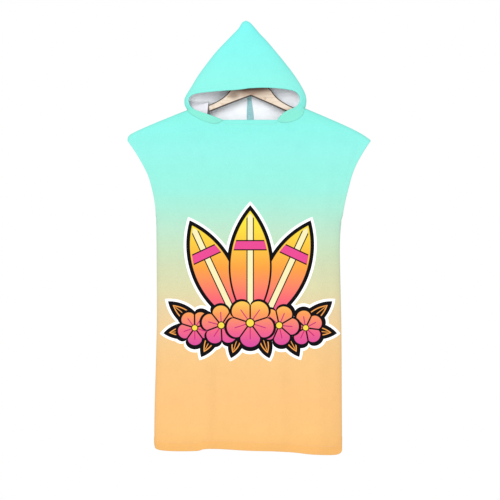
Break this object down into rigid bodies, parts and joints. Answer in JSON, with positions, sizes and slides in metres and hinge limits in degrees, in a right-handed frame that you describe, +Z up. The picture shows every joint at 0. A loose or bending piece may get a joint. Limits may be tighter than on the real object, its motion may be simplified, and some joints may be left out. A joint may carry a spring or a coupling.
{
  "type": "hooded bath poncho on a clothes hanger",
  "caption": "Sleeveless towelling poncho with a pointed hood, hanging on a wooden clothes hanger with a steel hook.",
  "frame": {"origin": "the seat of the hanger's hook: the top of the inside of its bend, where a rail carries it", "axes": "+Z up, +X to the viewer's right as seen from the front, +Y from the front of the poncho to its back"},
  "size_m": [0.7535, 0.0741, 1.3429],
  "materials": {
    "printed_cloth": "soft printed towelling, aqua at the top and peach at the hem",
    "hood_cloth": "soft aqua towelling, pale grey inside",
    "flap_cloth": "aqua towelling seen in shade",
    "pale_wood": "clear satin varnish",
    "steel": "smooth"
  },
  "bodies": {
    "root": {"front_panel": "printed_cloth", "back_panel": "printed_cloth", "hood": "hood_cloth", "hood_seam_flap_left": "flap_cloth", "hood_seam_flap_right": "flap_cloth", "hanger_board": "pale_wood", "hanger_hook": "steel"}
  },
  "joints": []
}
